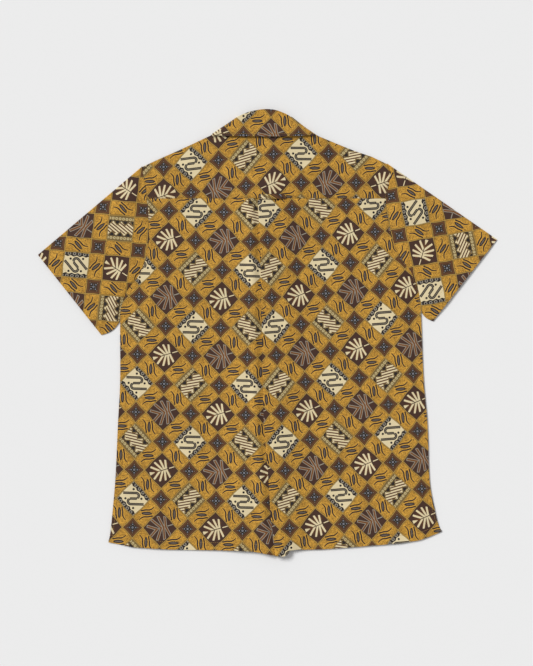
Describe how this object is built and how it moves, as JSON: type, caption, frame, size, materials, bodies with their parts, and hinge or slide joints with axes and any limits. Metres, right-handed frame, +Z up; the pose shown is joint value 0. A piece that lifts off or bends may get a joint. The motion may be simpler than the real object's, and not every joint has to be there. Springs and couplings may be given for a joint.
{
  "type": "batik shirt",
  "caption": "Short-sleeved printed cotton shirt with turn-down collar, back yoke and centre pleat, buttoned and laid flat, back uppermost.",
  "frame": {"origin": "middle of the laid-out shirt's footprint, on the surface that it lies on", "axes": "+Z up from the surface through the uppermost back, +Y towards the collar, +X towards the wearer's right sleeve"},
  "size_m": [0.8352, 0.8124, 0.0118],
  "materials": {
    "body_cloth": "printed plain-weave cotton, matt",
    "sleeve_cloth": "printed plain-weave cotton, matt",
    "collar_cloth": "printed plain-weave cotton over a stiffened core, matt",
    "loop_cloth": "printed plain-weave cotton strip, matt",
    "button_resin": "dark brown polished resin"
  },
  "bodies": {
    "root": {"back_panel": "body_cloth", "back_yoke": "body_cloth", "left_front": "body_cloth", "right_front": "body_cloth", "left_sleeve": "sleeve_cloth", "right_sleeve": "sleeve_cloth", "collar_fall": "collar_cloth", "collar_stand": "collar_cloth", "hanger_loop": "loop_cloth", "button_neck": "button_resin", "button_1": "button_resin", "button_2": "button_resin", "button_3": "button_resin", "button_4": "button_resin", "button_5": "button_resin", "button_6": "button_resin"}
  },
  "joints": []
}
